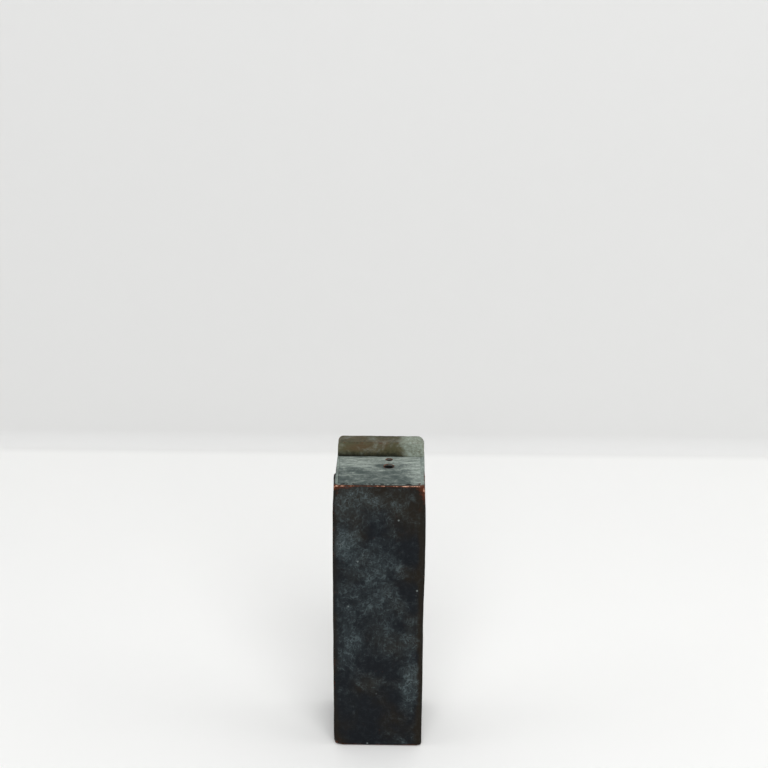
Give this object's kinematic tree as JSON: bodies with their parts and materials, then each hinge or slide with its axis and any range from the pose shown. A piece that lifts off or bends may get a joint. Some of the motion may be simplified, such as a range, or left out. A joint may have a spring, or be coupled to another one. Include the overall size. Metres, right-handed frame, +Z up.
{
  "type": "display plinth",
  "caption": "Tall narrow square plinth of dark patinated bronze for a small statuette, with a ledge on top, a raised bar across the rear and a ballasted, felted base.",
  "frame": {"origin": "middle of the square footprint, on the table", "axes": "+Z up; +X to the right across the front; the front faces -Y and the raised bar is at +Y"},
  "size_m": [0.06, 0.06, 0.2055],
  "materials": {
    "bronze_wall": "blue-black patina over bronze, brushed on, satin, rubbed to copper at the edges",
    "bronze_ledge": "pale grey-green patina over bronze, brushed from side to side",
    "bronze_kerb": "olive-brown patina over bronze",
    "brass_bar": "drawn bar, left as bought",
    "mild_steel": "hot-rolled plate, milled edges",
    "turned_steel": "turned bar",
    "zinc_screw": "zinc plated",
    "rubber_sheet": "matt",
    "felt": "pressed wool felt"
  },
  "bodies": {
    "root": {"front_plate": "bronze_wall", "back_plate": "bronze_wall", "left_plate": "bronze_wall", "right_plate": "bronze_wall", "top_plate": "bronze_ledge", "rear_kerb": "bronze_kerb", "post_front_left": "brass_bar", "post_front_right": "brass_bar", "post_back_left": "brass_bar", "post_back_right": "brass_bar", "backing_plate": "mild_steel", "backing_screws": "zinc_screw", "kerb_screws": "zinc_screw", "kerb_washers": "zinc_screw", "base_plate": "mild_steel", "base_screws": "zinc_screw", "ballast_pad": "rubber_sheet", "ballast_disc_lower": "turned_steel", "ballast_disc_middle": "turned_steel", "ballast_disc_upper": "turned_steel", "ballast_bolt": "zinc_screw", "ballast_washer": "zinc_screw", "ballast_nut": "zinc_screw", "felt_pad": "felt"}
  },
  "joints": []
}
